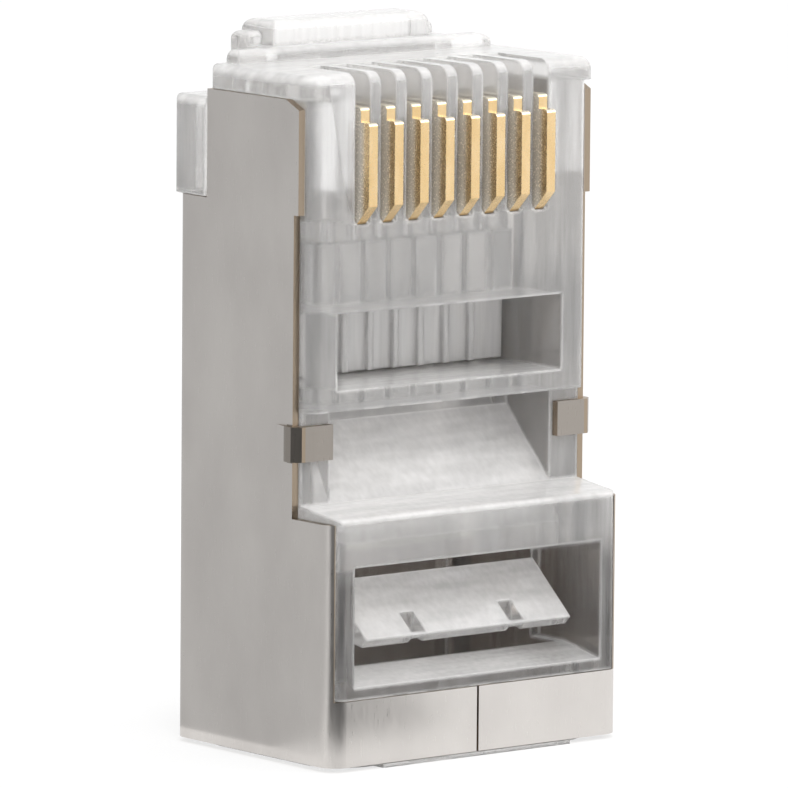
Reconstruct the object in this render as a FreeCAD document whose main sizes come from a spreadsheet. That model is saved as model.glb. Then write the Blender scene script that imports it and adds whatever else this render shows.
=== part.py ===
import FreeCAD, Part
import math
import os
import re
import Sketcher

# Shielded eight-way modular plug, before crimping, standing on its cable end.
#   +Z  from the cable end (z = 0) to the nose
#   -Y  the contact side, +Y the latch side
#   X   across the plug, centred
# "High" and "low" are heights above the cable end, a "drop" is a distance down from the nose, and
# "in" and "out" are distances inwards or outwards from the outside of the plug or from its contact face.

SIZES = {
    # overall
    "width": (11.68, "outside width across the shield"),
    "depth": (8.0, "outside depth across the shield"),
    "length": (21.46, "cable end to nose"),
    "face_front": (2.5, "contact face of the thin section, in front of the middle"),
    # folded shield
    "sheet": (0.25, "shield sheet thickness"),
    "sheet_gap": (0.03, "clearance between shield and housing"),
    "sheet_bend": (0.6, "outer bend radius of the shield"),
    "seam_gap": (0.08, "gap between the two front flaps"),
    "shield_low": (0.15, "height of the shield's lower edge"),
    "flap_high": (2.2, "height of the front flaps' upper edge"),
    "shield_drop": (0.76, "nose to the side panels' upper edge"),
    "wide_panel_in": (0.15, "face of the cable block to the side panels' front edge"),
    "wide_panel_high": (7.72, "height where the side panels turn narrow"),
    "narrow_panel_in": (0.52, "contact face to the narrow side panels' front edge"),
    "upper_panel_in": (0.3, "contact face to the side panels' front edge beside the contacts"),
    "upper_panel_drop": (4.31, "nose to where the side panels come forward beside the contacts"),
    "panel_corner_deep": (0.65, "corner cut at the top front of the side panels, front to back"),
    "panel_corner_high": (0.3, "height of that corner cut"),
    "notch_in": (1.62, "back of the plug to the start of the notch round the shoulders"),
    "notch_drop": (4.16, "nose to the bottom of the notch and the top of the back panel"),
    "tab_low": (9.5, "lower edge of the hold-down tabs"),
    "tab_high": (10.6, "upper edge of the hold-down tabs"),
    "tab_bulge": (0.15, "how far a tab's fold stands proud of the side panel"),
    "tab_root": (0.8, "length of side panel that a tab's fold takes up"),
    "tab_reach": (1.05, "how far a tab reaches over the housing"),
    # cable block of the housing
    "collar_in": (0.2, "outside of the housing to the standing rim round the cable entry"),
    "collar_round": (1.4, "corner radius of the standing rim"),
    "lip_half_width": (3.75, "half width of the lip under the shield's front flaps"),
    "block_high": (7.85, "height of the cable block at its front"),
    "block_round": (0.25, "edge radius of the cable block"),
    "step_high": (8.1, "height where the step meets the thin section"),
    "cheek_in": (0.45, "contact face to the front of the side cheeks"),
    "cheek_width": (1.14, "width of each side cheek"),
    "ramp_high": (10.3, "height of the ramp's upper end"),
    "recess_in": (2.6, "contact face to the back of the recess above the ramp"),
    # jacket window
    "jacket_window_low": (2.6, "height of the jacket window's sill at the face"),
    "jacket_window_high": (6.35, "height of the jacket window's top at the face"),
    "jacket_window_wall": (0.61, "wall beside the jacket window"),
    "sill_in": (1.8, "face of the cable block to the sill's inner edge"),
    "sill_high": (2.95, "height of the sill's inner edge"),
    "ceiling_high": (5.75, "height of the jacket window's ceiling at its inner edge"),
    # cable entry and funnel
    "entry_side_wall": (0.96, "wall on each side of the cable entry"),
    "entry_front_wall": (0.82, "wall in front of the cable entry at its mouth"),
    "entry_back_wall": (0.52, "wall behind the cable entry"),
    "throat_in": (3.0, "face of the cable block to the cable entry above the jacket window"),
    "funnel_low": (6.8, "height where the entry starts to narrow"),
    "funnel_high": (10.9, "height where the narrowing ends at the wire comb"),
    # wire comb, bores and contact slots
    "ways": (8, "number of contacts"),
    "pitch": (1.016, "contact pitch"),
    "wire_in": (3.85, "contact face to the line of wire centres"),
    "comb_slot": (0.8, "width of each comb slot"),
    "comb_depth": (1.2, "depth of each comb slot"),
    "comb_drop": (5.51, "nose to where the comb slots become bores"),
    "wire_bore": (0.92, "diameter of each wire bore"),
    "bore_wall": (0.56, "wall between the wire bores' blind ends and the nose"),
    "groove_width": (0.62, "width of the grooves for the jack's wires"),
    "groove_start_in": (0.6, "contact face to the floor of a groove at its lower end"),
    "groove_end_in": (2.6, "contact face to the floor of a groove at the nose"),
    "groove_rise": (0.5, "height from a contact's foot to where its groove has that first depth"),
    # conductor window
    "crossbar_low": (11.0, "height of the crossbar's lower edge"),
    "conductor_window_low": (11.65, "height of the conductor window's lower edge"),
    "conductor_window_high": (14.04, "height of the conductor window's upper edge"),
    "conductor_window_wall": (1.06, "wall on each side of the conductor window"),
    "conductor_window_in": (3.8, "contact face to the back of the conductor window"),
    # nose
    "nose_round": (0.45, "edge radius of the nose"),
    "cap_gap": (0.03, "clearance between the nose cap and the shield's side panels"),
    "band_half_width": (5.06, "half width of the raised band along the back of the nose"),
    "band_rise": (0.4, "height of that band"),
    "band_deep": (0.6, "front to back size of that band"),
    "band_round": (0.3, "edge radius of that band"),
    "ledge_drop": (1.06, "nose to the ledge behind the nose block"),
    "shoulder_side_proud": (0.06, "how far the shoulders stand proud of the side panels"),
    "shoulder_back_proud": (0.12, "how far the shoulders stand proud of the back panel"),
    "shoulder_width": (2.0, "width of each shoulder"),
    "shoulder_gap": (0.04, "clearance between the shoulders and the notch"),
    "shoulder_round": (0.4, "edge radius of the shoulders"),
    # latch and its root
    "saddle_half_width": (3.7, "half width of the latch saddle"),
    "saddle_in": (0.05, "back of the plug to the back of the latch saddle"),
    "ear_in": (0.9, "back of the plug to the front of the ears beside the latch root"),
    "ear_rise": (0.82, "nose up to the top of those ears"),
    "saddle_round": (0.25, "edge radius of the latch saddle"),
    "knuckle_half_width": (3.1, "half width of the latch root and of the latch's wide part"),
    "knuckle_radius": (0.8, "radius of the latch root"),
    "knuckle_in": (0.64, "back of the plug to the axis of the latch root"),
    "knuckle_rise": (0.36, "nose up to the axis of the latch root"),
    "knuckle_round": (0.35, "edge radius of the head above the latch root"),
    "knuckle_gap": (0.04, "clearance round the latch root"),
    "latch_root_out": (0.12, "back of the plug to the inner face of the latch where it leaves the root"),
    "latch_root_drop": (0.36, "nose to that point"),
    "latch_full_out": (0.95, "back of the plug to the latch's outer face where it reaches full thickness"),
    "latch_full_drop": (1.06, "nose to that point"),
    "latch_stop_drop": (8.36, "nose to the locking shoulders"),
    "latch_stop_out": (1.15, "back of the plug to the latch's inner face at the locking shoulders"),
    "latch_stop_thick": (1.2, "thickness of the latch at the locking shoulders"),
    "latch_tip_drop": (14.56, "nose to the free end of the latch tab"),
    "latch_tip_out": (2.1, "back of the plug to the tab's inner face at its free end"),
    "latch_tip_thick": (1.05, "thickness of the tab at its free end"),
    "latch_tab_half_width": (1.62, "half width of the latch tab"),
    "latch_round": (0.3, "edge radius of the tab's free end"),
    # jacket bar, measured from the face of the cable block
    "jacket_bar_side_gap": (0.5, "gap on each side of the jacket bar in the cable entry"),
    "jacket_hinge_in": (2.35, "face of the cable block to the hinge line of the jacket bar"),
    "jacket_hinge_high": (5.6, "height of that hinge line"),
    "jacket_tip_in": (0.45, "face of the cable block to the free edge of the jacket bar"),
    "jacket_tip_high": (3.95, "height of the free edge and of the heel behind it"),
    "jacket_heel_in": (1.85, "face of the cable block to the heel of the gripping face"),
    "jacket_bar_inner_in": (2.6, "face of the cable block to the jacket bar's inner face at its hinge"),
    "bar_slot_spread": (3.95, "distance between the two slots behind the free edge"),
    "bar_slot_width": (0.55, "width of each slot"),
    "bar_slot_in": (0.12, "free edge to the front of each slot"),
    "bar_slot_deep": (0.6, "front to back size of each slot"),
    # conductor bar, measured from the contact face
    "conductor_bar_gap": (0.1, "clearance round the conductor bar in its window"),
    "conductor_bar_in": (2.84, "contact face to the front of the conductor bar"),
    "conductor_bar_thick": (0.36, "thickness of the conductor bar"),
    "conductor_rib_width": (0.22, "width of the ribs on the conductor bar"),
    "conductor_rib_proud": (0.14, "height of the ribs on the conductor bar"),
    # contact blades
    "blade": (0.35, "contact thickness"),
    "blade_gap": (0.025, "clearance on each side of a contact in its slot"),
    "blade_drop": (1.05, "nose to the top of a contact"),
    "blade_height": (3.63, "height of a contact"),
    "blade_proud": (0.52, "how far an uncrimped contact stands out of the face"),
    "blade_foot": (0.58, "size of the sloped foot of the contact edge"),
    "blade_step_high": (0.46, "height of the step at the top of the contact edge"),
    "blade_step_in": (0.42, "depth of that step"),
    "blade_round": (0.12, "radius of the contact edge's top corners"),
    "blade_back_in": (1.95, "contact face to the blade's back edge between its teeth"),
    "tooth_in": (2.9, "contact face to the points of the piercing teeth"),
    "crimp_travel": (1.05, "how far a contact is driven in when crimped"),
}

doc = FreeCAD.newDocument("modular_plug")
sheet = doc.addObject("Spreadsheet::Sheet", "Sizes")
for row, (alias, (number, meaning)) in enumerate(SIZES.items(), start=1):
    sheet.set("A%d" % row, meaning)
    sheet.set("B%d" % row, str(number))
    sheet.setAlias("B%d" % row, alias)
doc.recompute()

# Places worked out from the sheet, as formulas. Across the plug:
INNER_HALF_WIDTH = "(width / 2 - sheet - sheet_gap)"
RECESS_HALF_WIDTH = "(%s - cheek_width)" % INNER_HALF_WIDTH
ENTRY_HALF_WIDTH = "(%s - entry_side_wall)" % INNER_HALF_WIDTH
CONDUCTOR_HALF_WIDTH = "(%s - conductor_window_wall)" % INNER_HALF_WIDTH
COMB_HALF_WIDTH = "((ways - 1) * pitch / 2 + comb_slot / 2)"
SHOULDER_HALF_WIDTH = "(width / 2 + shoulder_side_proud)"
FIRST_WAY = "(-(ways - 1) * pitch / 2)"
# front to back:
BACK = "(depth / 2)"
BLOCK_FACE = "(-depth / 2)"
FACE = "(-face_front)"
INNER_DEPTH = "(depth / 2 - sheet - sheet_gap)"
CHEEK = "(%s + cheek_in)" % FACE
ENTRY_BACK = "(%s - entry_back_wall)" % INNER_DEPTH
ENTRY_FRONT = "(-%s + entry_front_wall)" % INNER_DEPTH
THROAT = "(%s + throat_in)" % BLOCK_FACE
WIRE_LINE = "(%s + wire_in)" % FACE
SLOT_BACK = "(%s + tooth_in + crimp_travel + blade_gap)" % FACE
NOTCH_FRONT = "(%s - notch_in)" % BACK
NOSE_BACK = "(%s + shoulder_gap)" % NOTCH_FRONT
WIDE_PANEL = "(%s + wide_panel_in)" % BLOCK_FACE
NARROW_PANEL = "(%s + narrow_panel_in)" % FACE
UPPER_PANEL = "(%s + upper_panel_in)" % FACE
KNUCKLE_LINE = "(%s - knuckle_in)" % BACK
# heights:
SHIELD_HIGH = "(length - shield_drop)"
NOTCH_LOW = "(length - notch_drop)"
LEDGE_HIGH = "(length - ledge_drop)"
UPPER_PANEL_LOW = "(length - upper_panel_drop)"
BAND_HIGH = "(length + band_rise)"
EAR_HIGH = "(length + ear_rise)"
KNUCKLE_HIGH = "(length + knuckle_rise)"
COMB_HIGH = "(length - comb_drop)"
BLADE_HIGH = "(length - blade_drop)"
BLADE_LOW = "(length - blade_drop - blade_height)"
# how far a cutting outline runs past the outside of the plug
BEYOND = "depth / 4"


def size(alias):
    """Number held by the sheet under this alias."""
    return float(sheet.get(alias))


def formula(text):
    """Formula with each alias in it turned into a reference to the sheet."""
    return re.sub(r"[a-z_]+",
                  lambda word: "Sizes." + word.group() if word.group() in SIZES else word.group(), text)


def bind(item, path, text):
    """Tie a property of a document object to a formula."""
    item.setExpression(path, formula(text))


def new_body(name):
    """PartDesign body labelled with the name of its sub-part."""
    body = doc.addObject("PartDesign::Body", "body_" + name)
    body.Label = name
    return body


def origin_item(body, role):
    """Plane or axis of a body's own origin."""
    return next(item for item in body.Origin.OriginFeatures if item.Role == role)


def new_sketch(body, name, plane, offset=None):
    """Sketch on an origin plane, moved along the plane's normal by a formula."""
    sketch = body.newObject("Sketcher::SketchObject", name)
    sketch.AttachmentSupport = [(origin_item(body, plane), "")]
    sketch.MapMode = "FlatFace"
    if offset:
        bind(sketch, "AttachmentOffset.Base.z", offset)
    return sketch


def pin_point(sketch, geometry, point, start, across, along):
    """Hold one point of a sketch at the place that two formulas give."""
    for kind, text, number in (("DistanceX", across, start.x), ("DistanceY", along, start.y)):
        index = sketch.addConstraint(Sketcher.Constraint(kind, -1, 1, geometry, point, number))
        bind(sketch, "Constraints[%d]" % index, text)


def outline(sketch, corners):
    """Closed outline whose corners are held at pairs of formulas."""
    count = len(corners)
    first = sketch.GeometryCount
    turns = [math.tau * i / count for i in range(count)]
    spread = [FreeCAD.Vector(math.cos(turn), math.sin(turn), 0) for turn in turns]
    for i in range(count):
        sketch.addGeometry(Part.LineSegment(spread[i], spread[(i + 1) % count]), False)
    for i in range(count):
        sketch.addConstraint(Sketcher.Constraint("Coincident", first + i, 2, first + (i + 1) % count, 1))
    for i, (across, along) in enumerate(corners):
        pin_point(sketch, first + i, 1, spread[i], across, along)


def rectangle(sketch, low, high):
    """Upright rectangle between two corners given as pairs of formulas."""
    outline(sketch, [low, (high[0], low[1]), high, (low[0], high[1])])


def circle(sketch, across, along, radius):
    """Circle whose centre and radius are formulas."""
    start = FreeCAD.Vector(1, 1, 0)
    index = sketch.addGeometry(Part.Circle(start, FreeCAD.Vector(0, 0, 1), 1), False)
    pin_point(sketch, index, 3, start, across, along)
    number = sketch.addConstraint(Sketcher.Constraint("Radius", index, 1.0))
    bind(sketch, "Constraints[%d]" % number, radius)


def extrude(body, kind, name, sketch, length, symmetric=False, reverse=False):
    """Pad or Pocket of a sketch over a formula's length."""
    feature = body.newObject("PartDesign::" + kind, name)
    feature.Profile = sketch
    feature.SideType = "Symmetric" if symmetric else "One side"
    feature.Reversed = reverse
    bind(feature, "Length", length)
    return feature


def extrude_across(body, kind, name, corners, half_width):
    """Pad or Pocket of a side outline in the YZ plane, the same way to both sides."""
    sketch = new_sketch(body, name + "_outline", "YZ_Plane")
    outline(sketch, corners)
    return extrude(body, kind, name, sketch, "2 * (%s)" % half_width, symmetric=True)


def side_box(front, low, back, high):
    """Corners of a rectangle in the YZ plane, from front to back and low to high."""
    return [(front, low), (back, low), (back, high), (front, high)]


def mirror_across(body, name, features):
    """Copies of features on the other side of the middle plane."""
    mirror = body.newObject("PartDesign::Mirrored", name)
    mirror.Originals = features
    mirror.MirrorPlane = (origin_item(body, "YZ_Plane"), [""])
    body.Tip = mirror


def repeat_ways(body, name, features, count="ways"):
    """Copies of features along X, one contact pitch apart."""
    pattern = body.newObject("PartDesign::LinearPattern", name)
    pattern.Originals = features
    pattern.Direction = (origin_item(body, "X_Axis"), [""])
    bind(pattern, "Length", "(%s - 1) * pitch" % count)
    bind(pattern, "Occurrences", count)
    body.Tip = pattern


def near(first, second):
    """True where two numbers are the same to a small fraction of the sheet thickness."""
    return abs(first - second) < size("sheet") / 50


def fillet_edges(body, name, radius, wanted):
    """Fillet on the straight edges of the body whose middle and direction pass a test."""
    doc.recompute()
    base = body.Tip
    names = []
    for number, edge in enumerate(base.Shape.Edges, start=1):
        run = edge.Vertexes[-1].Point - edge.Vertexes[0].Point
        straight = run.Length > 0 and near(run.Length, edge.Length)
        if straight and wanted(edge.CenterOfMass, run.normalize()):
            names.append("Edge%d" % number)
    feature = body.newObject("PartDesign::Fillet", name)
    feature.Base = (base, names)
    bind(feature, "Radius", radius)


# --- housing -----------------------------------------------------------------------------------

def housing_core(body):
    """Cable block, thin section, nose and latch-side ledge as one side outline."""
    extrude_across(body, "Pad", "core", [
        ("-" + INNER_DEPTH, "shield_low"),
        (INNER_DEPTH, "shield_low"),
        (INNER_DEPTH, LEDGE_HIGH),
        (NOSE_BACK, LEDGE_HIGH),
        (NOSE_BACK, "length"),
        (FACE, "length"),
        (FACE, "crossbar_low"),
        (CHEEK, "crossbar_low"),
        (CHEEK, "step_high"),
        (BLOCK_FACE, "block_high"),
        (BLOCK_FACE, "flap_high + sheet_gap"),
        ("-" + INNER_DEPTH, "flap_high + sheet_gap"),
    ], INNER_HALF_WIDTH)

    def face_edge(middle, run):
        return near(middle.y, -size("face_front")) and near(abs(run.z), 1)

    def block_edge(middle, run):
        on_outline = near(abs(run.z), 1) or near(middle.z, size("block_high"))
        return near(middle.y, -size("depth") / 2) and on_outline

    def bend_edge(middle, run):
        inner_depth = size("depth") / 2 - size("sheet") - size("sheet_gap")
        return near(abs(run.z), 1) and near(abs(middle.y), inner_depth)

    fillet_edges(body, "face_rounding", "nose_round", face_edge)
    fillet_edges(body, "block_rounding", "block_round", block_edge)
    fillet_edges(body, "bend_rounding", "sheet_bend - sheet", bend_edge)


def housing_cap(body):
    """Nose cap as wide as the shield, and the raised band along its back."""
    low = "%s + cap_gap" % SHIELD_HIGH
    extrude_across(body, "Pad", "cap", side_box(FACE, low, NOSE_BACK, "length"), "width / 2")
    cap_low = size("length") - size("shield_drop") + size("cap_gap")
    nose_back = size("depth") / 2 - size("notch_in") + size("shoulder_gap")

    def upper_edge(middle, run):
        at_front = near(middle.y, -size("face_front")) and near(middle.z, size("length"))
        at_side = near(abs(middle.x), size("width") / 2) and not near(middle.z, cap_low)
        return at_front or at_side

    fillet_edges(body, "nose_rounding", "nose_round", upper_edge)
    extrude_across(body, "Pad", "band",
                   side_box("%s - band_deep" % NOSE_BACK, "%s - band_deep" % BAND_HIGH, NOSE_BACK, BAND_HIGH),
                   "band_half_width")

    def band_edge(middle, run):
        at_top = near(middle.z, size("length") + size("band_rise"))
        return at_top and not near(middle.y, nose_back)

    fillet_edges(body, "band_rounding", "band_round", band_edge)


def housing_collar(body):
    """Low rim round the cable entry, which the plug stands on."""
    half_width = "(%s - collar_in)" % INNER_HALF_WIDTH
    half_depth = "(%s - collar_in)" % INNER_DEPTH
    sketch = new_sketch(body, "collar_outline", "XY_Plane")
    rectangle(sketch, ("-" + half_width, "-" + half_depth), (half_width, half_depth))
    extrude(body, "Pad", "collar", sketch, "shield_low")

    def collar_corner(middle, run):
        return near(abs(run.z), 1) and middle.z < size("shield_low")

    fillet_edges(body, "collar_rounding", "collar_round", collar_corner)
    lip = new_sketch(body, "lip_outline", "XY_Plane")
    rectangle(lip, ("-lip_half_width", BLOCK_FACE), ("lip_half_width", "-%s + sheet" % half_depth))
    extrude(body, "Pad", "lip", lip, "shield_low - sheet_gap")


def housing_shoulders(body):
    """Rounded shoulders that fill the notch of the shield and stand a little proud of it."""
    low = "(%s + shoulder_gap)" % NOTCH_LOW
    sketch = new_sketch(body, "shoulder_outline", "XY_Plane", low)
    rectangle(sketch, ("%s - shoulder_width" % SHOULDER_HALF_WIDTH, "%s + shoulder_gap" % NOTCH_FRONT),
              (SHOULDER_HALF_WIDTH, "%s + shoulder_back_proud" % BACK))
    shoulder = extrude(body, "Pad", "shoulder", sketch, "%s - %s" % (LEDGE_HIGH, low))
    mirror_across(body, "shoulders", [shoulder])
    half_width = size("width") / 2 + size("shoulder_side_proud")
    back = size("depth") / 2 + size("shoulder_back_proud")
    ledge = size("length") - size("ledge_drop")

    def shoulder_edge(middle, run):
        at_side = near(abs(middle.x), half_width)
        outer_corner = near(abs(run.z), 1) and near(middle.y, back)
        return at_side and (outer_corner or near(middle.z, ledge))

    fillet_edges(body, "shoulder_rounding", "shoulder_round", shoulder_edge)


def housing_saddle(body):
    """Saddle behind the nose that carries the root of the latch between two ears."""
    low = "%s + shoulder_gap" % NOTCH_LOW
    back = "%s - saddle_in" % BACK
    ear_front = "%s - ear_in" % BACK
    extrude_across(body, "Pad", "saddle", [
        ("%s - sheet" % NOSE_BACK, low),
        (back, low),
        (back, EAR_HIGH),
        (ear_front, EAR_HIGH),
        (ear_front, BAND_HIGH),
        ("%s - sheet" % NOSE_BACK, BAND_HIGH),
    ], "saddle_half_width")

    def ear_edge(middle, run):
        return near(middle.z, size("length") + size("ear_rise"))

    fillet_edges(body, "ear_rounding", "saddle_round", ear_edge)
    seat = new_sketch(body, "knuckle_seat_outline", "YZ_Plane")
    circle(seat, KNUCKLE_LINE, KNUCKLE_HIGH, "knuckle_radius + knuckle_gap")
    seat_width = "2 * (knuckle_half_width + knuckle_gap)"
    extrude(body, "Pocket", "knuckle_seat", seat, seat_width, symmetric=True)
    reach = "(knuckle_radius + knuckle_gap)"
    behind = "(%s + (%s))" % (BACK, BEYOND)
    above = "(length + (%s))" % BEYOND
    extrude_across(body, "Pocket", "head_seat", [
        ("%s - %s" % (KNUCKLE_LINE, reach), KNUCKLE_HIGH),
        (KNUCKLE_LINE, "%s - %s" % (KNUCKLE_HIGH, reach)),
        (behind, "%s - %s" % (KNUCKLE_HIGH, reach)),
        (behind, above),
        ("%s - %s" % (KNUCKLE_LINE, reach), above),
    ], "knuckle_half_width + knuckle_gap")


def housing_windows(body):
    """Recess with its ramp, conductor window and jacket window, all open to the contact side."""
    before_face = "(%s - (%s))" % (FACE, BEYOND)
    before_block = "(%s - (%s))" % (BLOCK_FACE, BEYOND)
    extrude_across(body, "Pocket", "recess", [
        (before_face, "step_high"),
        (CHEEK, "step_high"),
        ("%s + recess_in" % FACE, "ramp_high"),
        ("%s + recess_in" % FACE, "crossbar_low"),
        (before_face, "crossbar_low"),
    ], RECESS_HALF_WIDTH)
    window_back = "%s + conductor_window_in" % FACE
    extrude_across(body, "Pocket", "conductor_window",
                   side_box(before_face, "conductor_window_low", window_back, "conductor_window_high"),
                   CONDUCTOR_HALF_WIDTH)
    extrude_across(body, "Pocket", "jacket_window", [
        (before_block, "jacket_window_low"),
        (BLOCK_FACE, "jacket_window_low"),
        ("%s + sill_in" % BLOCK_FACE, "sill_high"),
        (THROAT, "sill_high"),
        (THROAT, "ceiling_high"),
        (BLOCK_FACE, "jacket_window_high"),
        (before_block, "jacket_window_high"),
    ], "%s - jacket_window_wall" % INNER_HALF_WIDTH)


def housing_entry(body):
    """Cable entry from the standing end, narrowing to the comb that parts the wires."""
    below = "-(%s)" % BEYOND
    extrude_across(body, "Pocket", "entry", [
        (ENTRY_FRONT, below),
        (ENTRY_BACK, below),
        (ENTRY_BACK, "funnel_low"),
        (THROAT, "funnel_low"),
        (THROAT, "sill_high"),
        ("%s + sill_in" % BLOCK_FACE, "sill_high"),
        (ENTRY_FRONT, "0"),
    ], ENTRY_HALF_WIDTH)
    wide = new_sketch(body, "funnel_wide", "XY_Plane", "funnel_low")
    rectangle(wide, ("-" + ENTRY_HALF_WIDTH, THROAT), (ENTRY_HALF_WIDTH, ENTRY_BACK))
    narrow = new_sketch(body, "funnel_narrow", "XY_Plane", "funnel_high")
    rectangle(narrow, ("-" + COMB_HALF_WIDTH, "%s - comb_depth / 2" % WIRE_LINE),
              (COMB_HALF_WIDTH, "%s + comb_depth / 2" % WIRE_LINE))
    funnel = body.newObject("PartDesign::SubtractiveLoft", "funnel")
    funnel.Profile = wide
    funnel.Sections = [narrow]
    funnel.Ruled = True


def housing_ways(body):
    """Comb slot, wire bore, contact slot and jack-wire groove of the first way, repeated for all."""
    comb = new_sketch(body, "comb_outline", "XY_Plane", "funnel_high")
    rectangle(comb, ("%s - comb_slot / 2" % FIRST_WAY, "%s - comb_depth / 2" % WIRE_LINE),
              ("%s + comb_slot / 2" % FIRST_WAY, "%s + comb_depth / 2" % WIRE_LINE))
    comb_cut = extrude(body, "Pocket", "comb", comb, "%s - funnel_high" % COMB_HIGH, reverse=True)
    bore = new_sketch(body, "bore_outline", "XY_Plane", COMB_HIGH)
    circle(bore, FIRST_WAY, WIRE_LINE, "wire_bore / 2")
    bore_cut = extrude(body, "Pocket", "bore", bore, "comb_drop - bore_wall", reverse=True)
    slot = new_sketch(body, "slot_outline", "XY_Plane", "%s - blade_gap" % BLADE_LOW)
    rectangle(slot, ("%s - blade / 2 - blade_gap" % FIRST_WAY, "%s - blade_proud" % FACE),
              ("%s + blade / 2 + blade_gap" % FIRST_WAY, SLOT_BACK))
    slot_cut = extrude(body, "Pocket", "contact_slot", slot, "blade_height + 2 * blade_gap", reverse=True)
    groove = new_sketch(body, "groove_outline", "YZ_Plane", FIRST_WAY)
    outline(groove, [
        ("%s - blade_proud" % FACE, BLADE_LOW),
        (FACE, BLADE_LOW),
        ("%s + groove_start_in" % FACE, "%s + groove_rise" % BLADE_LOW),
        ("%s + groove_end_in" % FACE, "length + sheet"),
        ("%s - blade_proud" % FACE, "length + sheet"),
    ])
    groove_cut = extrude(body, "Pocket", "groove", groove, "groove_width", symmetric=True)
    repeat_ways(body, "all_ways", [comb_cut, bore_cut, slot_cut, groove_cut])


def make_housing():
    """Clear moulded housing."""
    body = new_body("housing")
    housing_core(body)
    housing_cap(body)
    housing_collar(body)
    housing_shoulders(body)
    housing_saddle(body)
    housing_windows(body)
    housing_entry(body)
    housing_ways(body)
    return body


# --- shield ------------------------------------------------------------------------------------

def shield_shell(body):
    """Tray-shaped shell: back and side panels, closed in front only at the height of the flaps."""
    before = "(%s - (%s))" % (BLOCK_FACE, BEYOND)
    above = "(length + (%s))" % BEYOND
    shell = new_sketch(body, "shell_outline", "XY_Plane", "shield_low")
    rectangle(shell, ("-width / 2", BLOCK_FACE), ("width / 2", BACK))
    extrude(body, "Pad", "shell", shell, "%s - shield_low" % SHIELD_HIGH)
    extrude_across(body, "Pocket", "panel_edges", [
        (before, "flap_high"),
        (WIDE_PANEL, "flap_high"),
        (WIDE_PANEL, "wide_panel_high"),
        (NARROW_PANEL, "wide_panel_high"),
        (NARROW_PANEL, UPPER_PANEL_LOW),
        (UPPER_PANEL, UPPER_PANEL_LOW),
        (UPPER_PANEL, "%s - panel_corner_high" % SHIELD_HIGH),
        ("%s + panel_corner_deep" % UPPER_PANEL, SHIELD_HIGH),
        ("%s + panel_corner_deep" % UPPER_PANEL, above),
        (before, above),
    ], "width")
    opening = side_box(before, "flap_high", "0", above)
    extrude_across(body, "Pocket", "open_front", opening, "width / 2 - sheet")

    def outer_bend(middle, run):
        return near(abs(run.z), 1) and near(abs(middle.y), size("depth") / 2)

    fillet_edges(body, "outer_bends", "sheet_bend", outer_bend)
    hollow = new_sketch(body, "hollow_outline", "XY_Plane", "shield_low")
    rectangle(hollow, ("-width / 2 + sheet", "%s + sheet" % BLOCK_FACE),
              ("width / 2 - sheet", "%s - sheet" % BACK))
    extrude(body, "Pocket", "hollow", hollow, "%s - shield_low" % SHIELD_HIGH, reverse=True)

    def inner_bend(middle, run):
        return near(abs(run.z), 1) and near(abs(middle.y), size("depth") / 2 - size("sheet"))

    fillet_edges(body, "inner_bends", "sheet_bend - sheet", inner_bend)


def shield_cuts(body):
    """Notch round the housing's shoulders and the seam between the front flaps."""
    behind = "(%s + (%s))" % (BACK, BEYOND)
    notch = side_box(NOTCH_FRONT, NOTCH_LOW, behind, "length")
    extrude_across(body, "Pocket", "shoulder_notch", notch, "width")
    extrude_across(body, "Pocket", "seam", side_box("%s - sheet" % BLOCK_FACE, "0", "0", "flap_high + sheet"),
                   "seam_gap / 2")


def shield_tabs(body):
    """Two tabs folded over the housing's cheeks."""
    tab = new_sketch(body, "tab_outline", "XY_Plane", "tab_low")
    inner = "(%s - sheet_gap)" % CHEEK
    front = "(%s - sheet)" % inner
    tip = "%s - tab_reach" % INNER_HALF_WIDTH
    outline(tab, [
        ("width / 2 - sheet", "%s + tab_root" % NARROW_PANEL),
        ("width / 2", "%s + tab_root" % NARROW_PANEL),
        ("width / 2 + tab_bulge", "%s + 2 * sheet" % front),
        ("width / 2 + tab_bulge", "%s + sheet" % front),
        ("width / 2 + tab_bulge - sheet", front),
        (tip, front),
        (tip, inner),
        ("width / 2 - sheet", inner),
    ])
    tab_pad = extrude(body, "Pad", "tab", tab, "tab_high - tab_low")
    mirror_across(body, "tabs", [tab_pad])


def make_shield():
    """Folded sheet: back, sides, two front flaps that meet at a seam, and two hold-down tabs."""
    body = new_body("shield")
    shield_shell(body)
    shield_cuts(body)
    shield_tabs(body)
    return body


# --- latch and bars ----------------------------------------------------------------------------

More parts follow.
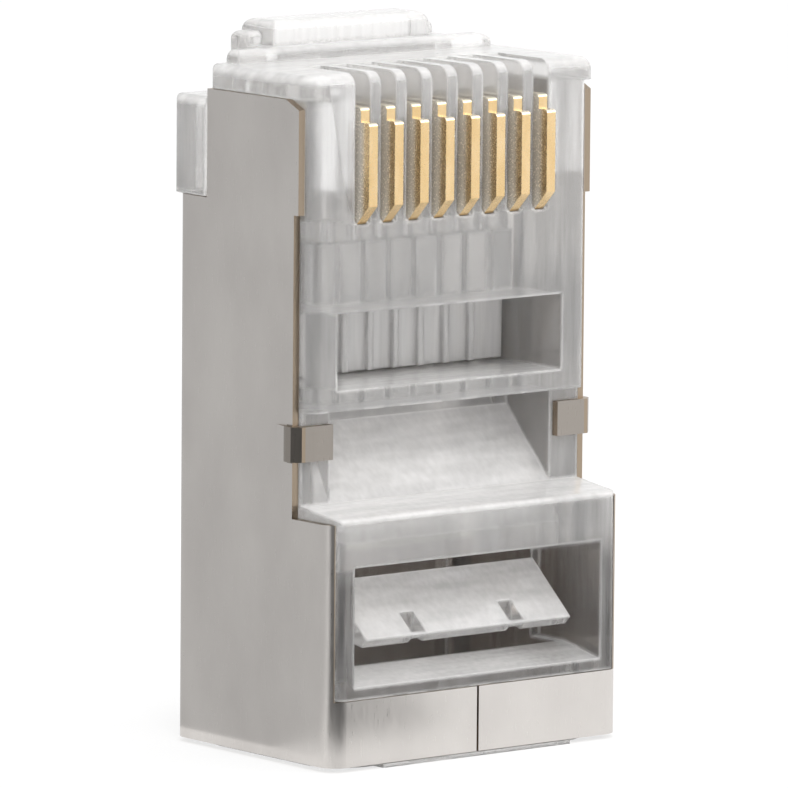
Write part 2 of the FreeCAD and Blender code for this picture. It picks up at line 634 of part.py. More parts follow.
def make_latch():
    """Locking lever: rounded root over the nose, wide part with locking shoulders, narrow tab."""
    body = new_body("latch")
    root = new_sketch(body, "root_outline", "YZ_Plane")
    circle(root, KNUCKLE_LINE, KNUCKLE_HIGH, "knuckle_radius")
    extrude(body, "Pad", "root", root, "2 * knuckle_half_width", symmetric=True)
    front = "%s - knuckle_radius" % KNUCKLE_LINE
    back = "%s + knuckle_radius" % KNUCKLE_LINE
    extrude_across(body, "Pad", "head",
                   side_box(front, KNUCKLE_HIGH, back, "%s + knuckle_radius" % KNUCKLE_HIGH),
                   "knuckle_half_width")
    head_top = size("length") + size("knuckle_rise") + size("knuckle_radius")

    def head_edge(middle, run):
        return near(middle.z, head_top)

    fillet_edges(body, "head_rounding", "knuckle_round", head_edge)
    stop_high = "(length - latch_stop_drop)"
    stop_inner = "(%s + latch_stop_out)" % BACK
    stop_outer = "(%s + latch_stop_thick)" % stop_inner
    extrude_across(body, "Pad", "lever", [
        (KNUCKLE_LINE, KNUCKLE_HIGH),
        ("%s + latch_root_out" % BACK, "length - latch_root_drop"),
        (stop_inner, stop_high),
        (stop_outer, stop_high),
        ("%s + latch_full_out" % BACK, "length - latch_full_drop"),
        (back, KNUCKLE_HIGH),
    ], "knuckle_half_width")
    tip_high = "(length - latch_tip_drop)"
    tip_inner = "(%s + latch_tip_out)" % BACK
    extrude_across(body, "Pad", "tab", [
        (stop_inner, stop_high),
        (tip_inner, tip_high),
        ("%s + latch_tip_thick" % tip_inner, tip_high),
        (stop_outer, stop_high),
    ], "latch_tab_half_width")
    tip = size("length") - size("latch_tip_drop")

    def tip_edge(middle, run):
        return near(middle.z, tip) and near(abs(run.x), 1)

    fillet_edges(body, "tip_rounding", "latch_round", tip_edge)
    return body


def make_jacket_bar():
    """Wedge-shaped tongue that is pressed into the cable jacket, with two slots behind its free edge."""
    body = new_body("jacket_bar")
    tip = "(%s + jacket_tip_in)" % BLOCK_FACE
    extrude_across(body, "Pad", "tongue", [
        ("%s + jacket_hinge_in" % BLOCK_FACE, "jacket_hinge_high"),
        (tip, "jacket_tip_high"),
        ("%s + sheet" % tip, "jacket_tip_high - sheet"),
        ("%s + jacket_heel_in" % BLOCK_FACE, "jacket_tip_high"),
        ("%s + jacket_bar_inner_in" % BLOCK_FACE, "jacket_hinge_high - sheet"),
    ], "%s - jacket_bar_side_gap" % ENTRY_HALF_WIDTH)
    bar_slot = new_sketch(body, "bar_slot_outline", "XY_Plane", "jacket_tip_high - 2 * sheet")
    rectangle(bar_slot, ("(bar_slot_spread - bar_slot_width) / 2", "%s + bar_slot_in" % tip),
              ("(bar_slot_spread + bar_slot_width) / 2", "%s + bar_slot_in + bar_slot_deep" % tip))
    bar_slot_cut = extrude(body, "Pocket", "bar_slot", bar_slot, "jacket_hinge_high - jacket_tip_high",
                           reverse=True)
    mirror_across(body, "bar_slots", [bar_slot_cut])
    return body


def make_conductor_bar():
    """Flat bar in the conductor window, with a rib between each pair of wires."""
    body = new_body("conductor_bar")
    low = "(conductor_window_low + conductor_bar_gap)"
    high = "(conductor_window_high - conductor_bar_gap)"
    front = "(%s + conductor_bar_in)" % FACE
    extrude_across(body, "Pad", "plate", side_box(front, low, "%s + conductor_bar_thick" % front, high),
                   "%s - conductor_bar_gap" % CONDUCTOR_HALF_WIDTH)
    rib = new_sketch(body, "rib_outline", "XY_Plane", low)
    rectangle(rib, ("%s + (pitch - conductor_rib_width) / 2" % FIRST_WAY, "%s - conductor_rib_proud" % front),
              ("%s + (pitch + conductor_rib_width) / 2" % FIRST_WAY, front))
    rib_pad = extrude(body, "Pad", "rib", rib, "%s - %s" % (high, low))
    repeat_ways(body, "ribs", [rib_pad], "(ways - 1)")
    return body


# --- contacts ----------------------------------------------------------------------------------

def make_contact(way):
    """Flat contact blade: stepped contact edge to the front, three piercing teeth to the back."""
    name = "contact_%d" % (way + 1)
    body = new_body(name)
    edge = "(%s - blade_proud)" % FACE
    back = "(%s + blade_back_in)" % FACE
    point = "(%s + tooth_in)" % FACE
    outer_teeth = [
        (back, BLADE_LOW),
        (point, "%s + blade_height / 6" % BLADE_LOW),
        (back, "%s + blade_height / 3" % BLADE_LOW),
        (point, "%s + blade_height / 2" % BLADE_LOW),
        (back, "%s - blade_height / 3" % BLADE_HIGH),
        (point, "%s - blade_height / 6" % BLADE_HIGH),
        (back, BLADE_HIGH),
    ]
    extrude_across(body, "Pad", name + "_blade", [
        ("%s + blade_step_in" % edge, BLADE_HIGH),
        ("%s + blade_step_in" % edge, "%s - blade_step_high" % BLADE_HIGH),
        (edge, "%s - blade_step_high" % BLADE_HIGH),
        (edge, "%s + blade_foot" % BLADE_LOW),
        ("%s + blade_foot" % edge, BLADE_LOW),
    ] + outer_teeth, "blade / 2")
    step = size("blade_step_in") - size("face_front") - size("blade_proud")
    top = size("length") - size("blade_drop")

    def top_corner(middle, run):
        on_step = near(middle.y, step) and near(middle.z, top)
        in_depth = near(middle.y, step - size("blade_step_in"))
        on_edge = in_depth and near(middle.z, top - size("blade_step_high"))
        return near(abs(run.x), 1) and (on_step or on_edge)

    fillet_edges(body, name + "_rounding", "blade_round", top_corner)
    bind(body, "Placement.Base.x", "%s + %d * pitch" % (FIRST_WAY, way))
    return body


def make_parts():
    """Every sub-part, in the order they go together."""
    plug = [make_housing(), make_shield(), make_latch(), make_jacket_bar(), make_conductor_bar()]
    return plug + [make_contact(way) for way in range(int(size("ways")))]


def check(parts):
    """Stop if any object failed to build or any sub-part is not one valid solid."""
    for item in doc.Objects:
        if "Invalid" in item.State or "Error" in item.State:
            raise RuntimeError("%s did not build: %s" % (item.Name, item.State))
    for part in parts:
        if part.Shape.isNull() or not part.Shape.isValid() or len(part.Shape.Solids) != 1:
            raise RuntimeError("%s is not one valid solid" % part.Label)


parts = make_parts()
doc.recompute()
check(parts)
os.makedirs("parts", exist_ok=True)
for part in parts:
    part.Shape.exportStep(os.path.join("parts", part.Label + ".step"))
    print(part.Label, round(part.Shape.Volume, 3), "mm3", part.Shape.BoundBox)
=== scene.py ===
import math

import bpy
from mathutils import Matrix, Vector


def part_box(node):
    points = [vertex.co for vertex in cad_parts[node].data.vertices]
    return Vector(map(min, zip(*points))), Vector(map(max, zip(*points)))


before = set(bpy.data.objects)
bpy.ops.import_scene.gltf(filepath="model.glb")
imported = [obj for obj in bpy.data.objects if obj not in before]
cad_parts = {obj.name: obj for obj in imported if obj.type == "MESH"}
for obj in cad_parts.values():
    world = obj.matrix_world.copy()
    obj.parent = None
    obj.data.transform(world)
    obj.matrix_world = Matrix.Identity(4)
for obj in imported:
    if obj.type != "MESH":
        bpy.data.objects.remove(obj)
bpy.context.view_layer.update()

# Shielded modular plug, standing on its cable end: +Z to the nose, -Y the contact side, metres.
MM = 0.001
CLEAR_NODES = ("housing", "latch", "jacket_bar")
CONTACT_NODES = sorted(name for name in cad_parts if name.startswith("contact_"))
HOUSING_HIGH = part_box("housing")[1]
SHIELD_LOW, SHIELD_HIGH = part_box("shield")

# Regions of the finishes and of the painted light and shade. A face is square to an axis when that part of
# its normal is over SQUARE_ON.
SQUARE_ON = 0.9
COLLAR_HIGH = 5.7 * MM
NOSE_LOW = 6.6 * MM
SHEET_INNER_HALF_WIDTH = 5.6 * MM
FLAP_END_LIMIT = SHEET_INNER_HALF_WIDTH - 0.3 * MM
INNER_FACE_LIMIT = -0.5 * MM
TAB_MIDDLE = 10.05 * MM
TAB_HALF_HEIGHT = 0.6 * MM
TAB_BACK = -1.7 * MM
CONTACT_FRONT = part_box(CONTACT_NODES[0])[0].y
# Painted light and reflection on the stamped contact sides: none in front of the first, full behind the
# second.
SIDE_PAINT_START = CONTACT_FRONT + 0.15 * MM
SIDE_PAINT_FULL = CONTACT_FRONT + 0.4 * MM
TIP_SLOPE = 0.3

# Painted highlight: faces of the plastic turn matt, and so whiter, between these slopes, and edges between
# these cosines of their turn.
TOP_HIGHLIGHT_SLOPES = (0.25, 0.75)
EDGE_HIGHLIGHT_TURNS = (0.98, 0.8)
STREAK_SHARES = (0.8, 1.1)
BEVEL_SAMPLES = 3

# Part of a noise that its mapping uses.
NOISE_MIDDLE = (0.3, 0.7)

# Each noise: size of its features as a share of a length, stretch along X, Y and Z, and detail.
FLOW = (1, (1, 1, 2.5), 1.0)
HAZE = (1 / 3, (1, 1, 1), 1.0)
UPRIGHT_STREAKS = (1 / 7, (1, 1, 12), 2.0)
LEVEL_STREAKS = (1 / 4, (6, 1, 1), 1.0)
ROLLING_GRAIN = (1, (1, 1, 14), 4.0)
NICKEL_PATCHES = (2.5, (1, 1, 1.6), 3.0)
GOLD_PATCHES = (0.4, (1, 1, 3), 3.0)
GOLD_GRAIN = (0.05, (1, 1, 1), 3.0)
GOLD_GRAIN_DEPTH = 0.0002 * MM

# Soft lights: name, place, size in metres and power in watts.
SOFTBOXES = (
    ("key_light", (-0.25, -0.35, 0.45), 0.2, 1.0),
    ("fill_light", (0.45, -0.3, 0.25), 0.35, 1.0),
    ("top_light", (0.02, -0.08, 0.55), 0.25, 0.45),
)

# Reflected cards: name, first and last angle in degrees from the camera, level, and gap to the shield.
CARD_GAP = 0.1 * MM
CARDS = (
    ("side_card", 44, 165, 0.62, CARD_GAP),
    ("strip_card", 28, 44, 0.9, CARD_GAP),
    ("front_card", -52, 28, 0.1, 3.5 * MM),
)
CARD_RADIUS = 30 * MM
CARD_FLOOR = 0.4 * MM
CARD_HEIGHT = 80 * MM
CARD_STEPS = 24
LEAST_SLOPE = 0.0001

# Floor as it is seen: its own glow, and how much of the light on it is added.
FLOOR_GLOW = 0.72
FLOOR_LIT = (0.3, 0.3, 0.3)
WHITE = (1, 1, 1)

# Camera sensor in millimetres, nearest distance in metres, and bounces of light.
SENSOR_WIDTH = 36
NEAR_CLIP = 0.01
LIGHT_BOUNCES = 16
GLOSSY_BOUNCES = 6

bl_info = {
    "name": "Modular plug",
    "version": (1, 0, 0),
    "blender": (4, 5, 0),
    "location": "View3D > Sidebar > Plug",
    "description": "Finishes, stage and camera for a shielded eight-way modular plug",
    "category": "Object",
}


def colour_prop(name, description, default):
    """Colour that a user may change."""
    return bpy.props.FloatVectorProperty(name=name, description=description, default=default, size=3,
                                         min=0, max=1, subtype="COLOR")


def factor_prop(name, description, default):
    """Share from 0 to 1 that a user may change."""
    return bpy.props.FloatProperty(name=name, description=description, default=default, min=0, max=1,
                                   subtype="FACTOR")


def length_prop(name, description, default):
    """Length in metres that a user may change."""
    return bpy.props.FloatProperty(name=name, description=description, default=default, min=0, precision=5,
                                   unit="LENGTH", subtype="DISTANCE")


def angle_prop(name, description, degrees):
    """Angle that a user may change."""
    return bpy.props.FloatProperty(name=name, description=description, default=math.radians(degrees),
                                   unit="ROTATION", subtype="ANGLE")


class ClearPlastic(bpy.types.PropertyGroup):
    """Clear polycarbonate of the housing, latch and bars."""
    tint: colour_prop("Tint", "Faint tint of the polycarbonate", (0.978, 0.968, 0.96))
    # Painted highlight: the plastic turns milky in this colour on faces that look up and along rounded
    # edges.
    painted_highlight_tint: colour_prop("Matt tint", "Colour where the plastic is matt", (0.88, 0.87, 0.86))
    haze: factor_prop("Haze", "Roughness of the moulded faces", 0.08)
    haze_spread: factor_prop("Haze spread", "How much the roughness varies over a face", 0.06)
    clarity: factor_prop("Clarity", "Share of the light that goes straight through the nose", 0.8)
    collar_clarity: factor_prop("Collar clarity", "The same share for the thicker collar below", 0.925)
    bar_clarity: factor_prop("Bar clarity", "The same share for the conductor bar, which is matt", 0.36)
    upright_streaks: factor_prop("Upright streaks", "How much the clarity varies in upright streaks", 0.045)
    # Painted highlight: how much clarity the upward faces and the rounded edges lose.
    painted_top_highlight: factor_prop("Matt tops", "How much clarity the faces lose that look up", 0.52)
    painted_edge_highlight: factor_prop("Matt edges", "How much clarity the rounded edges lose", 0.8)
    soft_edge: length_prop("Soft edge", "Radius that the moulding leaves on every edge", 0.16 * MM)
    flow_mark: length_prop("Flow marks", "Height of the waves that moulding leaves", 0.004 * MM)
    flow_length: length_prop("Flow length", "Length of those waves", 1.6 * MM)
    ior: bpy.props.FloatProperty(name="Index", description="Refractive index of polycarbonate", default=1.5,
                                 min=1, max=2)


class ShieldFinish(bpy.types.PropertyGroup):
    """Nickel-plated sheet of the shield."""
    nickel: colour_prop("Nickel", "Colour of the plated sheet", (0.71, 0.68, 0.65))
    nickel_worn: colour_prop("Duller nickel", "Colour where the plating is duller", (0.63, 0.60, 0.575))
    satin: factor_prop("Satin", "Roughness of the sheet", 0.27)
    satin_spread: factor_prop("Satin spread", "How much the roughness varies", 0.12)
    grain: length_prop("Grain width", "Width of the rolling grain", 0.035 * MM)
    grain_depth: length_prop("Grain depth", "Depth of the rolling grain", 0.0007 * MM)
    # Painted shade: the two tabs are darkened as if in the shade of the housing above them.
    painted_shade_tab: colour_prop("Tabs", "Colour of the two folded tabs", (0.34, 0.31, 0.28))
    bare_edge_and_painted_side: colour_prop("Bare edge", "Colour of the sheet's cut edges", (0.36, 0.29, 0.22))
    # The next two colours: painted light on the back panel's inner face at the nose, and painted shade on
    # the other inner faces.
    inside: colour_prop("Inside", "Colour of the back panel's inner face at the nose", (0.97, 0.945, 0.915))
    painted_shade_inner: colour_prop("Inside of the sides", "Colour of the other inner faces", (0.40, 0.35, 0.31))


class GoldFinish(bpy.types.PropertyGroup):
    """Gold plating of the contacts."""
    gold: colour_prop("Gold", "Colour of the plating", (0.84, 0.63, 0.36))
    gold_thin: colour_prop("Thin gold", "Colour where the plating is thin", (0.76, 0.54, 0.27))
    # Painted highlight: the tops of the contacts are lighter than the gold.
    painted_highlight_tip: colour_prop("Tips", "Colour of the polished tops", (1.0, 0.92, 0.74))
    # Painted light and painted reflection on the stamped sides, which also lose some metal shine so that the
    # lamps light them.
    side: colour_prop("Sides", "Colour of the stamped sides, where there is little gold", (0.86, 0.80, 0.70))
    painted_light_dulling: factor_prop("Dull sides", "How much the stamped sides lose their metal shine", 0.6)
    gloss: factor_prop("Roughness", "Roughness of the plating", 0.2)
    gloss_spread: factor_prop("Roughness spread", "How much the roughness varies", 0.1)
    soft_edge: length_prop("Soft edge", "Radius that stamping leaves on every edge", 0.03 * MM)


class StageLook(bpy.types.PropertyGroup):
    """Floor, lights and camera."""
    floor_size: length_prop("Floor size", "Side of the square floor", 4.0)
    floor_colour: colour_prop("Floor", "Colour of the floor", (0.86, 0.86, 0.86))
    ambient: factor_prop("Ambient", "Level of the light from all round", 0.76)
    azimuth: angle_prop("Azimuth", "Turn of the view to the left of the contact side", 38.982)
    elevation: angle_prop("Elevation", "How far the view looks down", 7.783)
    roll: angle_prop("Roll", "Tilt of the view", 0.469)
    distance: length_prop("Distance", "From the camera to the middle of the plug", 0.308856)
    aim_height: length_prop("Aim height", "Height that the camera aims at", 0.0107)
    lens: bpy.props.FloatProperty(name="Lens", description="Focal length on a 36 mm sensor", default=450.33,
                                  min=1, unit="CAMERA")
    shift_x: bpy.props.FloatProperty(name="Shift across", description="Sideways shift of the lens",
                                     default=-0.00705)
    shift_y: bpy.props.FloatProperty(name="Shift up", description="Upward shift of the lens",
                                     default=0.009455)


# --- materials ---------------------------------------------------------------------------------

def new_material(name):
    """Empty node material, with its node tree and output."""
    material = bpy.data.materials.new(name)
    material.use_nodes = True
    material.node_tree.nodes.clear()
    return material, material.node_tree, material.node_tree.nodes.new("ShaderNodeOutputMaterial")


def add_node(tree, kind, values=None, **settings):
    """Node with its settings, and each named or numbered socket set to a value or linked to a socket."""
    node = tree.nodes.new("ShaderNode" + kind)
    for name, value in settings.items():
        setattr(node, name, value)
    for name, value in (values or {}).items():
        if isinstance(value, bpy.types.NodeSocket):
            tree.links.new(value, node.inputs[name])
        else:
            node.inputs[name].default_value = value
    return node


def opaque(colour):
    """Colour with a full alpha."""
    return (*colour, 1.0)


def stretched_noise(tree, length, shape):
    """Noise over the object, with one of the shapes above and a length in metres."""
    share, stretch, detail = shape
    place = add_node(tree, "TexCoord").outputs["Object"]
    scale = tuple(1 / (share * length * along) for along in stretch)
    scaled = add_node(tree, "Mapping", {"Vector": place, "Scale": scale}).outputs["Vector"]
    return add_node(tree, "TexNoise", {"Vector": scaled, "Scale": 1.0, "Detail": detail}).outputs["Fac"]


def mapped(tree, value, start, end, low, high):
    """Value taken from start and end to low and high, and held there beyond them."""
    return add_node(tree, "MapRange", {"Value": value, "From Min": start, "From Max": end,
                                       "To Min": low, "To Max": high}).outputs["Result"]


def spread(tree, factor, low, high):
    """Noise factor mapped to a range."""
    return mapped(tree, factor, *NOISE_MIDDLE, low, high)


def mixed_colour(tree, share, first, second):
    """First colour, or a second one by a share."""
    return add_node(tree, "Mix", {"Factor": share, "A": first, "B": opaque(second)},
                    data_type="RGBA").outputs["Result"]


def bump(tree, height, distance, **below):
    """Bump of a real height in metres, over the normal below it where one is given."""
    values = {"Height": height, "Strength": 1.0, "Distance": distance, **below}
    return add_node(tree, "Bump", values).outputs["Normal"]


def rounded(tree, radius):
    """Normal over edges that are rounded by a radius."""
    return add_node(tree, "Bevel", {"Radius": radius}, samples=BEVEL_SAMPLES).outputs["Normal"]


def math_node(tree, operation, *values, **settings):
    """Result of a Math node."""
    return add_node(tree, "Math", dict(enumerate(values)), operation=operation, **settings).outputs[0]


def parts_of(tree, vector, absolute=False):
    """The three parts of a vector, without their signs when absolute."""
    if absolute:
        vector = add_node(tree, "VectorMath", {0: vector}, operation="ABSOLUTE").outputs[0]
    return add_node(tree, "SeparateXYZ", {0: vector}).outputs


def dot(tree, first, second):
    """Dot product of two vectors."""
    return add_node(tree, "VectorMath", {0: first, 1: second}, operation="DOT_PRODUCT").outputs["Value"]


def painted_highlight_share(tree, look, soft):
    """Clarity that is lost on faces that look up, in faint streaks, and along rounded edges: a painted
    highlight where the overhead light falls.
    """
    normal = add_node(tree, "TexCoord").outputs["Normal"]
    up = mapped(tree, parts_of(tree, normal)[2], *TOP_HIGHLIGHT_SLOPES, 0.0, look.painted_top_highlight)
    streaks = stretched_noise(tree, look.flow_length, LEVEL_STREAKS)
    streaked = math_node(tree, "MULTIPLY", up, spread(tree, streaks, *STREAK_SHARES))
    flat = add_node(tree, "NewGeometry").outputs["Normal"]
    edge = mapped(tree, dot(tree, soft, flat), *EDGE_HIGHLIGHT_TURNS, 0.0, look.painted_edge_highlight)
    return math_node(tree, "ADD", streaked, edge)


def clear_plastic_material(name, look, clarity):
    """Clear polycarbonate with faint flow marks, clearer in the collar, and matt on its tops and edges as a
    painted highlight.
    """
    material, tree, output = new_material(name)
    high = parts_of(tree, add_node(tree, "TexCoord").outputs["Object"])[2]
    even = mapped(tree, high, COLLAR_HIGH, NOSE_LOW, look.collar_clarity, clarity)
    upright = stretched_noise(tree, look.flow_length, UPRIGHT_STREAKS)
    clear = math_node(tree, "ADD", even, spread(tree, upright, -look.upright_streaks, look.upright_streaks))
    flow = stretched_noise(tree, look.flow_length, FLOW)
    haze = stretched_noise(tree, look.flow_length, HAZE)
    soft = rounded(tree, look.soft_edge)
    # Painted highlight on the upward faces and rounded edges, made by turning them matt.
    matt = painted_highlight_share(tree, look, soft)
    shader = add_node(tree, "BsdfPrincipled", {
        "Base Color": mixed_colour(tree, matt, opaque(look.tint), look.painted_highlight_tint),
        "Roughness": spread(tree, haze, look.haze, look.haze + look.haze_spread),
        "IOR": look.ior,
        "Transmission Weight": math_node(tree, "SUBTRACT", clear, matt, use_clamp=True),
        "Normal": bump(tree, flow, look.flow_mark, Normal=soft),
    })
    tree.links.new(shader.outputs["BSDF"], output.inputs["Surface"])
    return material


def cut_edges(tree, place, normal):
    """1 on the narrow faces where the sheet was cut, else 0."""
    across = parts_of(tree, place, absolute=True)[0]
    turn_x, turn_y, turn_z = parts_of(tree, normal, absolute=True)
    level = math_node(tree, "GREATER_THAN", turn_z, SQUARE_ON)
    in_panel = math_node(tree, "GREATER_THAN", across, SHEET_INNER_HALF_WIDTH)
    panel_end = math_node(tree, "MULTIPLY", in_panel, math_node(tree, "GREATER_THAN", turn_y, SQUARE_ON))
    inboard = math_node(tree, "LESS_THAN", across, FLAP_END_LIMIT)
    flap_end = math_node(tree, "MULTIPLY", inboard, math_node(tree, "GREATER_THAN", turn_x, SQUARE_ON))
    ends = math_node(tree, "ADD", panel_end, flap_end)
    return math_node(tree, "ADD", ends, level, use_clamp=True)


def folded_tabs(tree, place):
    """1 on the two tabs in front of the housing, where shade is painted, else 0."""
    _, deep, high = parts_of(tree, place)
    in_front = math_node(tree, "LESS_THAN", deep, TAB_BACK)
    from_middle = math_node(tree, "ABSOLUTE", math_node(tree, "SUBTRACT", high, TAB_MIDDLE))
    beside = math_node(tree, "LESS_THAN", from_middle, TAB_HALF_HEIGHT)
    return math_node(tree, "MULTIPLY", in_front, beside)


def inner_faces(tree, place, normal):
    """1 on the faces of the sheet that look into the plug, else 0."""
    flat_place = add_node(tree, "VectorMath", {0: place, 1: (1, 1, 0)}, operation="MULTIPLY").outputs[0]
    return math_node(tree, "LESS_THAN", dot(tree, flat_place, normal), INNER_FACE_LIMIT)


def nickel_material(look):
    """Satin nickel-plated sheet with a fine rolling grain, unplated at its cut edges, with painted shade on
    the tabs and most inner faces, and painted light on the back panel's inner face at the nose.
    """
    material, tree, output = new_material("satin_nickel")
    grain = stretched_noise(tree, look.grain, ROLLING_GRAIN)
    patch = spread(tree, stretched_noise(tree, MM, NICKEL_PATCHES), 0, 1)
    colour = mixed_colour(tree, patch, opaque(look.nickel), look.nickel_worn)
    where = add_node(tree, "TexCoord").outputs
    inner = inner_faces(tree, where["Object"], where["Normal"])
    not_forward = math_node(tree, "GREATER_THAN", parts_of(tree, where["Normal"])[1], -SQUARE_ON)
    in_collar = math_node(tree, "LESS_THAN", parts_of(tree, where["Object"])[2], COLLAR_HIGH)
    shaded = math_node(tree, "MAXIMUM", not_forward, in_collar)
    outer_grain = math_node(tree, "MULTIPLY", grain, math_node(tree, "SUBTRACT", 1.0, inner))
    # Painted light on the back panel's inner face, painted shade on the other inner faces and on the tabs,
    # then the cut edges.
    for share, other in ((inner, look.inside),
                         (math_node(tree, "MULTIPLY", inner, shaded), look.painted_shade_inner),
                         (folded_tabs(tree, where["Object"]), look.painted_shade_tab),
                         (cut_edges(tree, where["Object"], where["Normal"]), look.bare_edge_and_painted_side)):
        colour = mixed_colour(tree, share, colour, other)
    shader = add_node(tree, "BsdfPrincipled", {
        "Base Color": colour,
        "Metallic": 1.0,
        "Roughness": spread(tree, outer_grain, look.satin, look.satin + look.satin_spread),
        "Normal": bump(tree, outer_grain, look.grain_depth),
    })
    tree.links.new(shader.outputs["BSDF"], output.inputs["Surface"])
    return material


def gold_material(look):
    """Gold plating, thinner in places, with a painted highlight on the tops and painted light and reflection
    on the stamped sides.
    """
    material, tree, output = new_material("gold_plate")
    patch = spread(tree, stretched_noise(tree, MM, GOLD_PATCHES), 0, 1)
    grain = stretched_noise(tree, MM, GOLD_GRAIN)
    where = add_node(tree, "TexCoord").outputs
    sideways = math_node(tree, "GREATER_THAN", parts_of(tree, where["Normal"], absolute=True)[0], SQUARE_ON)
    behind = mapped(tree, parts_of(tree, where["Object"])[1], SIDE_PAINT_START, SIDE_PAINT_FULL, 0.0, 1.0)
    bare_edge_and_painted_side = math_node(tree, "MULTIPLY", sideways, behind)
    # Tops that get the painted highlight.
    top = math_node(tree, "GREATER_THAN", parts_of(tree, where["Normal"])[2], TIP_SLOPE)
    colour = opaque(look.gold)
    # Patches of thin plating, then painted light and reflection on the stamped sides, then a painted
    # highlight on the tops.
    for share, other in ((patch, look.gold_thin), (bare_edge_and_painted_side, look.side), (top, look.painted_highlight_tip)):
        colour = mixed_colour(tree, share, colour, other)
    shader = add_node(tree, "BsdfPrincipled", {
        "Base Color": colour,
        # The sides with painted light lose some of their metal shine.
        "Metallic": math_node(tree, "SUBTRACT", 1.0, math_node(tree, "MULTIPLY", bare_edge_and_painted_side, look.painted_light_dulling)),
        "Roughness": spread(tree, grain, look.gloss, look.gloss + look.gloss_spread),
        "Normal": bump(tree, grain, GOLD_GRAIN_DEPTH, Normal=rounded(tree, look.soft_edge)),
    })
    tree.links.new(shader.outputs["BSDF"], output.inputs["Surface"])
    return material


def seen_directly(tree):
    """1 for rays that see the stage straight, in a reflection or through the plastic."""
    path = add_node(tree, "LightPath").outputs
    either = math_node(tree, "ADD", path["Is Camera Ray"], path["Is Glossy Ray"])
    return math_node(tree, "ADD", either, path["Is Transmission Ray"], use_clamp=True)


def dress(nodes, material):
    """Give CAD nodes a material."""
    for name in nodes:
        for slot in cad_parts[name].material_slots:
            slot.material = material


# --- operators ---------------------------------------------------------------------------------

class PLUG_OT_clear_pieces(bpy.types.Operator):
    """Finish the clear housing, latch and bars"""
    bl_idname = "plug.clear_pieces"
    bl_label = "Clear pieces"

    def execute(self, context):
        look = context.scene.plug_clear
        dress(CLEAR_NODES, clear_plastic_material("clear_polycarbonate", look, look.clarity))
        dress(["conductor_bar"], clear_plastic_material("matt_polycarbonate", look, look.bar_clarity))
        return {"FINISHED"}


class PLUG_OT_shield(bpy.types.Operator):
    """Finish the folded shield"""
    bl_idname = "plug.shield"
    bl_label = "Shield"

    def execute(self, context):
        dress(["shield"], nickel_material(context.scene.plug_shield))
        return {"FINISHED"}


class PLUG_OT_contacts(bpy.types.Operator):
    """Finish the contacts"""
    bl_idname = "plug.contacts"
    bl_label = "Contacts"

    def execute(self, context):
        dress(CONTACT_NODES, gold_material(context.scene.plug_gold))
        return {"FINISHED"}


# --- stage -------------------------------------------------------------------------------------

def new_sheet(name, points, faces):
    """Flat or folded sheet for the stage, with its paper material's node tree and output."""
    mesh = bpy.data.meshes.new(name)
    mesh.from_pydata(points, [], faces)
    sheet = bpy.data.objects.new(name, mesh)
    bpy.context.scene.collection.objects.link(sheet)
    material, tree, output = new_material(name + "_paper")
    mesh.materials.append(material)
    return sheet, tree, output


def add_floor(look):
    """Floor that lights the plug as pale paper, and is seen nearly white with the plug's shadow on it."""
    half = look.floor_size / 2
    corners = [(-half, -half, 0), (half, -half, 0), (half, half, 0), (-half, half, 0)]
    floor, tree, output = new_sheet("floor", corners, [(0, 1, 2, 3)])
    lit = add_node(tree, "BsdfDiffuse", {"Color": opaque(look.floor_colour)})
    lit_part = add_node(tree, "BsdfDiffuse", {"Color": opaque(FLOOR_LIT)})
    glow = add_node(tree, "Emission", {"Color": opaque(WHITE), "Strength": FLOOR_GLOW})
    shown = add_node(tree, "AddShader", {0: lit_part.outputs[0], 1: glow.outputs[0]})
    mixed = add_node(tree, "MixShader", {"Fac": seen_directly(tree), 1: lit.outputs[0], 2: shown.outputs[0]})
    tree.links.new(mixed.outputs[0], output.inputs["Surface"])


def add_world(look):
    """White surroundings where they are seen, and an even soft light from all round."""
    world = bpy.data.worlds.new("studio")
    bpy.context.scene.world = world
    world.use_nodes = True
    tree = world.node_tree
    tree.nodes.clear()
    output = tree.nodes.new("ShaderNodeOutputWorld")
    level = mapped(tree, seen_directly(tree), 0.0, 1.0, look.ambient, 1.0)
    background = add_node(tree, "Background", {"Color": opaque(WHITE), "Strength": level})
    tree.links.new(background.outputs[0], output.inputs["Surface"])


def add_softbox(name, place, size, power):
    """Square soft light aimed at the middle of the plug."""
    data = bpy.data.lights.new(name, "AREA")
    data.shape = "SQUARE"
    data.size = size
    data.energy = power
    light = bpy.data.objects.new(name, data)
    bpy.context.scene.collection.objects.link(light)
    aim = Vector((0, 0, HOUSING_HIGH.z / 2))
    light.location = place
    light.rotation_euler = (Vector(place) - aim).to_track_quat("Z", "Y").to_euler()


def card_start(turn, gap):
    """Distance from the middle to a gap outside the shield."""
    across = SHIELD_HIGH.x / max(abs(math.sin(turn)), LEAST_SLOPE)
    deep = max(SHIELD_HIGH.y, -SHIELD_LOW.y) / max(abs(math.cos(turn)), LEAST_SLOPE)
    return min(across, deep) + gap


def add_card(look, name, start, end, level, gap):
    """Card that only reflections show: on the floor from near the shield, then upright round the plug."""
    turns = [look.azimuth + math.radians(start + (end - start) * i / CARD_STEPS)
             for i in range(CARD_STEPS + 1)]
    near = [card_start(turn, gap) for turn in turns]
    far = [CARD_RADIUS] * len(turns)
    points = [(-radius * math.sin(turn), -radius * math.cos(turn), high)
              for radii, high in ((near, CARD_FLOOR), (far, CARD_FLOOR), (far, CARD_HEIGHT))
              for radius, turn in zip(radii, turns)]
    count = len(turns)
    faces = [(row + i, row + i + 1, row + count + i + 1, row + count + i)
             for row in (0, count) for i in range(CARD_STEPS)]
    card, tree, output = new_sheet(name, points, faces)
    card.visible_camera = card.visible_diffuse = card.visible_shadow = card.visible_transmission = False
    glow = add_node(tree, "Emission", {"Color": opaque(WHITE), "Strength": level})
    tree.links.new(glow.outputs[0], output.inputs["Surface"])


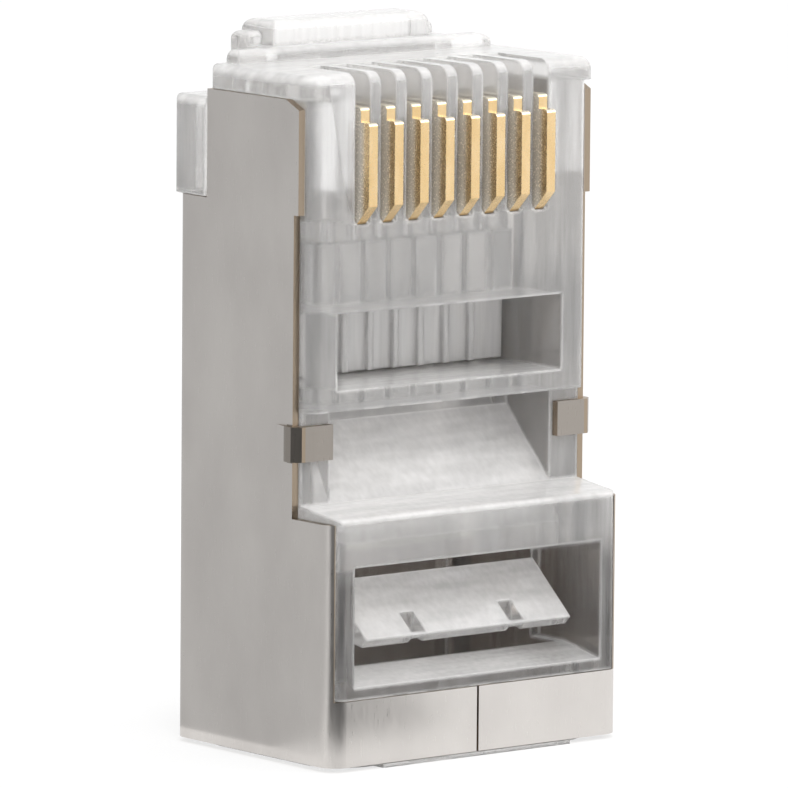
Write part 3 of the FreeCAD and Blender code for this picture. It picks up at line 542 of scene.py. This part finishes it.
def add_camera(look):
    """Camera that looks at the contact side from the left and a little above."""
    turn, tilt = look.azimuth, look.elevation
    ahead = Vector((math.sin(turn) * math.cos(tilt), math.cos(turn) * math.cos(tilt), -math.sin(tilt)))
    right = Vector((math.cos(turn), -math.sin(turn), 0))
    up = right.cross(ahead)
    across = math.cos(look.roll) * right + math.sin(look.roll) * up
    upward = math.cos(look.roll) * up - math.sin(look.roll) * right
    data = bpy.data.cameras.new("camera")
    data.lens = look.lens
    data.sensor_width = SENSOR_WIDTH
    data.shift_x, data.shift_y = look.shift_x, look.shift_y
    data.clip_start = NEAR_CLIP
    camera = bpy.data.objects.new("camera", data)
    bpy.context.scene.collection.objects.link(camera)
    place = Vector((0, 0, look.aim_height)) - look.distance * ahead
    axes = Matrix((across, upward, -ahead)).transposed().to_4x4()
    camera.matrix_world = Matrix.Translation(place) @ axes
    bpy.context.scene.camera = camera


class PLUG_OT_stage(bpy.types.Operator):
    """Add the camera, the white surroundings, the floor, the soft lights and the reflected cards"""
    bl_idname = "plug.stage"
    bl_label = "Stage"

    def execute(self, context):
        look = context.scene.plug_stage
        context.scene.view_settings.view_transform = "Standard"
        add_camera(look)
        add_world(look)
        add_floor(look)
        for softbox in SOFTBOXES:
            add_softbox(*softbox)
        for card in CARDS:
            add_card(look, *card)
        cycles = context.scene.cycles
        cycles.max_bounces = LIGHT_BOUNCES
        cycles.transmission_bounces = LIGHT_BOUNCES
        cycles.glossy_bounces = GLOSSY_BOUNCES
        return {"FINISHED"}


OPERATORS = (PLUG_OT_clear_pieces, PLUG_OT_shield, PLUG_OT_contacts, PLUG_OT_stage)
GROUPS = {"plug_clear": ClearPlastic, "plug_shield": ShieldFinish, "plug_gold": GoldFinish,
          "plug_stage": StageLook}


class PLUG_PT_panel(bpy.types.Panel):
    """Sizes and colours of the plug, and the steps that make it"""
    bl_idname = "PLUG_PT_panel"
    bl_label = "Modular plug"
    bl_space_type = "VIEW_3D"
    bl_region_type = "UI"
    bl_category = "Plug"

    def draw(self, context):
        for name, group in GROUPS.items():
            box = self.layout.box()
            for field in group.__annotations__:
                box.prop(getattr(context.scene, name), field)
        for operator in OPERATORS:
            self.layout.operator(operator.bl_idname)


def register():
    for group in GROUPS.values():
        bpy.utils.register_class(group)
    for name, group in GROUPS.items():
        setattr(bpy.types.Scene, name, bpy.props.PointerProperty(type=group))
    for each in OPERATORS + (PLUG_PT_panel,):
        bpy.utils.register_class(each)


def unregister():
    for each in reversed(OPERATORS + (PLUG_PT_panel,)):
        bpy.utils.unregister_class(each)
    for name in GROUPS:
        delattr(bpy.types.Scene, name)
    for group in GROUPS.values():
        bpy.utils.unregister_class(group)


def main():
    """Build the whole plug."""
    register()
    for operator in OPERATORS:
        group, name = operator.bl_idname.split(".")
        getattr(getattr(bpy.ops, group), name)()


if __name__ == "__main__":
    main()
